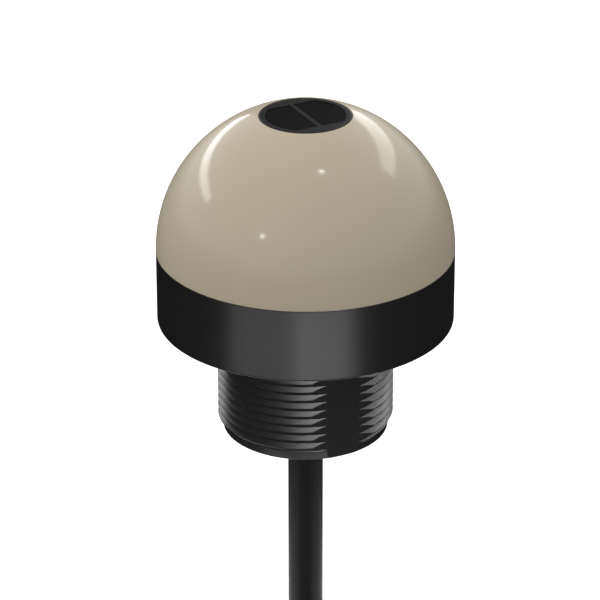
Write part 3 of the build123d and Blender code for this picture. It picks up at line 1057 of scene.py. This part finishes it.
@dataclass
class Leads(Part):
    """Five insulated leads that fan out from the cable's far end, with tinned tips."""

    radius: float = 0.65 * MM
    ring_r: float = 1.6 * MM
    first: float = 90.0
    inside: float = 0.3 * MM
    drop_len: float = 11.0 * MM
    flat_len: float = 20.0 * MM
    fan: float = 2.9 * MM
    splay: float = 1.2
    shift_in: float = 2.9 * MM
    turn_in: float = 12.0 * MM
    rest_gap: float = 0.05 * MM
    tip_r: float = 0.4 * MM
    tip_len: float = 6.0 * MM
    tip_steps: int = 12
    strands: int = 7
    strand_steps: int = 6
    strand_relief: float = 0.16
    twist: float = 300.0
    colours: tuple[str, ...] = ("black", "white", "brown", "blue", "grey")

    def route(self, number: int) -> list[Vector]:
        """Control points of one lead, from the cable's end down onto the coil.

        Args:
            number: Place of the lead in the ring.

        Returns:
            The start, the point where it comes down and the end.
        """
        cable = Cable(self.paint)
        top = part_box("cable_tail")[0].z
        tail_from, tail_to = (cable.at(a, cable.coil_r, top + cable.radius) for a in cable.tail_azimuths)
        ahead = (tail_to - tail_from).normalized()
        outward = Vector((-ahead.y, ahead.x, 0))
        clocks = [radians(self.first + 360 * i / len(self.colours)) for i in range(len(self.colours))]
        ranks = sorted(range(len(clocks)), key=lambda i: cos(clocks[i]))
        fan = (ranks.index(number) - (len(clocks) - 1) / 2) * self.fan
        side, lift = self.ring_r * cos(clocks[number]), self.ring_r * sin(clocks[number])
        rest = top - cable.tail_lift + self.radius + self.rest_gap
        start = tail_to - ahead * self.inside + outward * side + Vector((0, 0, lift))
        down = tail_to + ahead * self.drop_len + outward * (fan - self.shift_in)
        end = down + ahead * self.flat_len + outward * (fan * (self.splay - 1) - self.turn_in)
        down.z = end.z = rest
        return [start, down, end]

    def tip(self, name: str, start: Vector, along: Vector) -> Object:
        """Twisted and tinned strands at a lead's end.

        Args:
            name: Name of the tip.
            start: Where the insulation ends.
            along: Direction of the tip.

        Returns:
            The tip as an object.
        """
        bm = bmesh.new()
        ring = bmesh.ops.create_circle(bm, segments=self.strands * self.strand_steps, radius=1.0)
        for spot in ring["verts"]:
            lobe = abs(cos(self.strands * atan2(spot.co.y, spot.co.x) / 2))
            spot.co *= self.tip_r * (1 - self.strand_relief * (1 - lobe))
        bmesh.ops.spin(bm, geom=bm.verts[:] + bm.edges[:], cent=(0, 0, 0), axis=(0, 0, 1),
                       dvec=(0, 0, self.tip_len / self.tip_steps), angle=radians(self.twist),
                       steps=self.tip_steps)
        bmesh.ops.holes_fill(bm, edges=[e for e in bm.edges if e.is_boundary], sides=0)
        bmesh.ops.recalc_face_normals(bm, faces=bm.faces[:])
        turn = along.to_track_quat("Z", "Y").to_matrix().to_4x4()
        bmesh.ops.transform(bm, verts=bm.verts[:], matrix=Matrix.Translation(start) @ turn)
        return as_object(name, bm)

    def build(self) -> None:
        """Make the leads and their tips."""
        for number, colour in enumerate(self.colours):
            points = self.route(number)
            along = (points[2] - points[1]).normalized()
            tip = self.tip(f"tip_{colour}", points[-1], along)
            smooth(tip)
            self.fit(tip, "wire_tinned", "lead_tips")
            piece = nurbs_tube(f"wire_{colour}", points, self.radius)
            self.fit(piece, f"wire_{colour}", f"lead_{colour}")


# Studio


@dataclass(frozen=True)
class Lamp:
    """Flat lamp that faces the dome.

    Its place is its azimuth from +X and its elevation, both in degrees, and its distance. A lamp
    that lights only some pieces names them, and a soft one doesn't show in reflections.
    """

    name: str
    place: Point
    size: Pair
    power: float
    roll: float = 0.0
    only: tuple[str, ...] = ()
    shadow: bool = True
    mirrored: bool = True

    def build(self, aim: Vector) -> None:
        """Make the lamp.

        Args:
            aim: Point that it faces.
        """
        data = bpy.data.lights.new(self.name, "AREA")
        data.shape = "RECTANGLE"
        data.size, data.size_y = self.size
        data.energy = self.power
        data.use_shadow = self.shadow
        data.cycles.use_multiple_importance_sampling = self.shadow
        made = placed(self.name, data)
        made.visible_camera = False
        made.visible_glossy = self.mirrored
        azimuth, elevation, distance = self.place
        turn, rise = radians(azimuth), radians(elevation)
        away = Vector((cos(turn) * cos(rise), sin(turn) * cos(rise), sin(rise)))
        made.location = aim + away * distance
        spin = Matrix.Rotation(radians(self.roll), 3, "Z").to_quaternion()
        made.rotation_euler = (away.to_track_quat("Z", "Y") @ spin).to_euler()
        if self.only:
            lit = bpy.data.collections.new(f"{self.name}_lights")
            for name in self.only:
                lit.objects.link(bpy.data.objects[name])
            made.light_linking.receiver_collection = lit


LAMPS = (
    Lamp("left_box", (135.5, 19, 0.6), size=(0.76, 0.06), power=1.1, roll=15.5,
         only=("dome_cap", "window_ring")),
    Lamp("left_edge", (117, 16, 0.6), size=(0.3, 0.09), power=0.54, roll=13,
         only=("housing", "cable_run")),
    Lamp("right_box", (55, 27, 0.6), size=(0.66, 0.11), power=1.03, roll=-28),
    Lamp("soft_key", (130, 75, 0.8), size=(0.4, 0.4), power=1.95, mirrored=False),
    Lamp("soft_front", (-110, 30, 0.6), size=(0.3, 0.3), power=0.66, mirrored=False),
    Lamp("low_front", (-76, -33, 0.143), size=(0.09, 0.08), power=0.105, only=("housing",)),
    Lamp("low_left", (-117, -30, 0.14), size=(0.13, 0.07), power=0.065, only=("housing",)),
    Lamp("overhead", (70, 78, 0.5), size=(0.12, 0.12), power=2.0, only=("housing",), shadow=False),
    Lamp("high_right", (44, 43, 0.5), size=(0.24, 0.24), power=0.8, only=("housing",), shadow=False),
    Lamp("top_dot", (-34, 77.7, 0.5), size=(0.024, 0.024), power=0.07),
    Lamp("front_dot", (-127, 28.1, 0.5), size=(0.024, 0.024), power=0.07),
)


@dataclass
class Studio:
    """Camera, lamps, floor and background."""

    target: Point = (0.0, 0.0, 2.8 * MM)
    distance: float = 0.566
    elevation: float = 25.53
    lens: float = 201.9
    sensor: float = 36.0
    sight: Pair = (0.01, 20.0)
    shift_x: float = -0.00925
    aim: Point = (0.0, 0.0, 12.6 * MM)
    ambient: float = 0.5
    floor_size: float = 3.0
    floor_colour: Colour = (0.85, 0.85, 0.85, 1.0)
    floor_roughness: float = 0.9
    floor_glow: float = 0.7
    card_colour: Colour = (0.01, 0.01, 0.01, 1.0)
    card_steps: int = 96
    card_from: float = 0.1
    card_to: float = 1.0
    card_lift: float = 1.0 * MM
    card_rise: float = 0.22
    card_fade: Pair = (0.3, 1.0)
    skirt_from: float = 24.0 * MM
    skirt_to: float = 60.0 * MM
    skirt_z: float = -24.0 * MM
    back_card_at: Pair = (-0.06, 0.7)
    back_card_size: Pair = (0.26, 0.7)
    back_card_fade: Pair = (1.4, 2.1)

    def camera(self) -> None:
        """Camera at the photograph's viewing angle."""
        data = bpy.data.cameras.new("camera")
        data.lens = self.lens
        data.sensor_width = self.sensor
        data.shift_x = self.shift_x
        data.clip_start, data.clip_end = self.sight
        made = placed("camera", data)
        rise = radians(self.elevation)
        back = Vector((0, -cos(rise), sin(rise)))
        made.location = Vector(self.target) + back * self.distance
        made.rotation_euler = (-back).to_track_quat("-Z", "Y").to_euler()
        bpy.context.scene.camera = made

    def background_seen(self, tree: NodeTree) -> Node:
        """Mask of the camera, glossy and transmission rays, which see the background.

        Args:
            tree: Tree of the floor's or the world's material.

        Returns:
            A node whose Value is 1 for such a ray.
        """
        path = add_node(tree, "LightPath")
        mirrored = add_node(tree, "Math", operation="MAXIMUM")
        seen = add_node(tree, "Math", operation="MAXIMUM")
        join(tree, (path, "Is Camera Ray", mirrored, 0), (path, "Is Glossy Ray", mirrored, 1),
             (mirrored, "Value", seen, 0), (path, "Is Transmission Ray", seen, 1))
        return seen

    def floor(self) -> None:
        """Pale floor under the lowest point of the cable, seen only from above."""
        low, _ = cad_box
        bm = bmesh.new()
        bmesh.ops.create_grid(bm, x_segments=1, y_segments=1, size=self.floor_size,
                              matrix=Matrix.Translation((0, 0, low.z)))
        made = as_object("floor", bm)
        material, shader = shaded("floor_white", {
            "Base Color": self.floor_colour, "Roughness": self.floor_roughness,
            "Specular IOR Level": 0.0, "Emission Color": WHITE,
        })
        tree = material.node_tree
        glow = add_node(tree, "Math", {1: self.floor_glow}, operation="MULTIPLY")
        join(tree, (self.background_seen(tree), "Value", glow, 0),
             (glow, "Value", shader, "Emission Strength"))
        clear_where(tree, shader, add_node(tree, "NewGeometry"), "Backfacing")
        made.data.materials.append(material)

    def dark_card(self, name: str, bm: BMesh, fade_from: float, fade_to: float) -> None:
        """Black card that shows only in the object's reflections and fades out far away.

        Args:
            name: Name of the card.
            bm: Its mesh, which is used up.
            fade_from: Distance from the origin where it starts to fade.
            fade_to: Distance where nothing is left of it.
        """
        card = as_object(name, bm)
        material, shader = shaded(f"{name}_black",
                                  {"Base Color": self.card_colour, "Specular IOR Level": 0.0})
        tree = material.node_tree
        place = add_node(tree, "TexCoord")
        away = add_node(tree, "VectorMath", operation="LENGTH")
        fade = add_node(tree, "MapRange", {"From Min": fade_from, "From Max": fade_to},
                        interpolation_type="SMOOTHSTEP")
        join(tree, (place, "Object", away, 0), (away, "Value", fade, "Value"))
        clear_where(tree, shader, fade, "Result")
        card.data.materials.append(material)
        card.visible_camera = False
        card.visible_diffuse = False
        card.visible_shadow = False
        card.visible_transmission = False

    def ring(self, inner: float, outer: float, height: float, rise: float) -> BMesh:
        """Flat or dished ring about the axis.

        Args:
            inner: Inner radius.
            outer: Outer radius.
            height: Height of the inner edge.
            rise: How much higher the outer edge is.

        Returns:
            The open ring.
        """
        bm = bmesh.new()
        bmesh.ops.create_circle(bm, segments=self.card_steps, radius=inner,
                                matrix=Matrix.Translation((0, 0, height)))
        widened = bmesh.ops.extrude_edge_only(bm, edges=bm.edges[:])["geom"]
        edge = [v for v in widened if isinstance(v, BMVert)]
        bmesh.ops.scale(bm, verts=edge, vec=(outer / inner, outer / inner, 1.0))
        bmesh.ops.translate(bm, verts=edge, vec=(0, 0, rise))
        return bm

    def dark_cards(self) -> None:
        """Cards below the horizon, under the collar, and upright behind, between the two boxes."""
        low, _ = cad_box
        horizon = self.ring(self.card_from, self.card_to, low.z + self.card_lift, self.card_rise)
        self.dark_card("low_card", horizon, *self.card_fade)
        skirt = self.ring(self.skirt_from, self.skirt_to, self.skirt_z, 0)
        self.dark_card("skirt_card", skirt, *self.card_fade)
        across, away = self.back_card_at
        width, height = self.back_card_size
        upright = bmesh.new()
        place = (Matrix.Translation((across, away, low.z + height / 2))
                 @ Matrix.Rotation(radians(90), 4, "X") @ Matrix.Diagonal((width, height, 1, 1)))
        bmesh.ops.create_grid(upright, x_segments=1, y_segments=1, size=0.5, matrix=place)
        self.dark_card("back_card", upright, *self.back_card_fade)

    def world(self) -> None:
        """White background, and soft grey light for the object."""
        world = bpy.data.worlds.new("studio")
        world.use_nodes = True
        bpy.context.scene.world = world
        tree = world.node_tree
        lit = find_node(tree, "BACKGROUND")
        set_inputs(lit, {"Color": WHITE})
        level = add_node(tree, "MapRange", {"To Min": self.ambient, "To Max": 1.0})
        join(tree, (self.background_seen(tree), "Value", level, "Value"),
             (level, "Result", lit, "Strength"))

    def build(self) -> None:
        """Set up the studio."""
        self.camera()
        self.floor()
        self.dark_cards()
        self.world()
        for lamp in LAMPS:
            lamp.build(Vector(self.aim))
            LOG.info("lamp %s set up", lamp.name)
        bpy.context.scene.view_settings.view_transform = "Standard"


def main() -> None:
    """Build every sub-assembly around the frame, then the studio."""
    logging.basicConfig(level=logging.INFO, format="%(name)s: %(message)s")
    paint = Paint()
    paint.dress_frame()
    for part in (Cable(paint), Ties(paint), Leads(paint), Grommet(paint), Housing(paint), Dome(paint),
                 Window(paint)):
        part.build()
        LOG.info("%s built", type(part).__name__)
    Studio().build()


if __name__ == "__main__":
    main()
